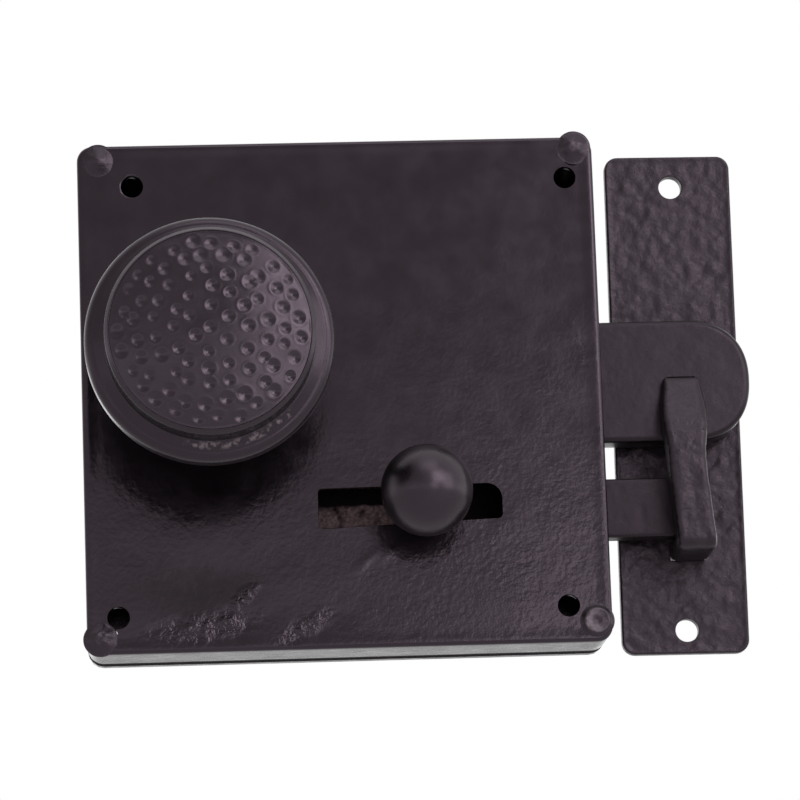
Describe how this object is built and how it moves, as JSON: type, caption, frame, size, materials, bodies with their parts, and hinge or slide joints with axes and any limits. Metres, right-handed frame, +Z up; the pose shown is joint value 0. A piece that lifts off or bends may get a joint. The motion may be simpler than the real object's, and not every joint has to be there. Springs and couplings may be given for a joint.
{
  "type": "privacy door latch",
  "caption": "Square surface-mounted iron box latch with a round hammered knob, a lifting latch bar, a sliding ball privacy bolt and a hooked keeper plate.",
  "frame": {"origin": "middle of the back of the case, on the face of the door", "axes": "+X towards the keeper, +Z up the door, -Y out of the door into the room"},
  "size_m": [0.1499, 0.1124, 0.116],
  "materials": {
    "case_paint": "satin black paint over sheet iron",
    "knob_paint": "satin black paint, a little worn",
    "bar_paint": "satin black paint over plate",
    "keeper_paint": "matt black paint over rough forged iron",
    "rusty_iron": "bare iron, part painted, part rusted",
    "bare_iron": "bare iron",
    "bright_steel": "turned or drawn steel",
    "spring_steel": "tempered spring steel",
    "brass": "turned brass"
  },
  "bodies": {
    "case": {"front_cover": "case_paint", "back_plate": "case_paint", "corner_post_top_left": "case_paint", "corner_post_top_right": "case_paint", "corner_post_bottom_left": "case_paint", "corner_post_bottom_right": "case_paint", "front_bush": "case_paint", "rear_bush": "brass", "latch_pivot": "bright_steel", "pivot_spacer": "bare_iron", "latch_stop": "bright_steel", "return_spring": "spring_steel", "spring_bracket": "bare_iron", "bracket_rivet_1": "bare_iron", "bracket_rivet_2": "bare_iron", "bolt_guide_1": "bare_iron", "bolt_guide_2": "bare_iron", "bolt_spring": "spring_steel", "guide_rivet_1": "bare_iron", "guide_rivet_2": "bare_iron", "guide_rivet_3": "bare_iron", "guide_rivet_4": "bare_iron", "leaf_rivet": "bare_iron", "keeper_plate": "keeper_paint", "keeper_hook": "keeper_paint"},
    "knob": {"lift_hub": "bare_iron", "spindle": "bright_steel", "knob_shank": "case_paint", "knob_set_screw": "bright_steel", "knob_body": "knob_paint", "knob_face": "knob_paint"},
    "latch": {"latch_bar": "bar_paint"},
    "bolt": {"slide_bolt": "rusty_iron", "slide_knob": "knob_paint"}
  },
  "joints": [
    {"name": "knob_turn", "type": "hinge", "parent": "case", "child": "knob", "pos_m": [-0.0298, 0, 0.004], "axis": [0, -1, 0], "range_deg": [0, 20]},
    {"name": "latch_lift", "type": "hinge", "parent": "case", "child": "latch", "pos_m": [-0.0478, 0, 0.01], "axis": [0, -1, 0], "range_deg": [0, 7.5], "stiffness_Nm_per_rad": 0.5, "springref_deg": -5.73, "deforming": ["return_spring"]},
    {"name": "bolt_slide", "type": "slide", "parent": "case", "child": "bolt", "axis": [1, 0, 0], "range_m": [-0.0194, 0.0144]}
  ],
  "couplings": [
    {"joint": "latch_lift", "follows": "knob_turn", "ratio": 0.375}
  ]
}
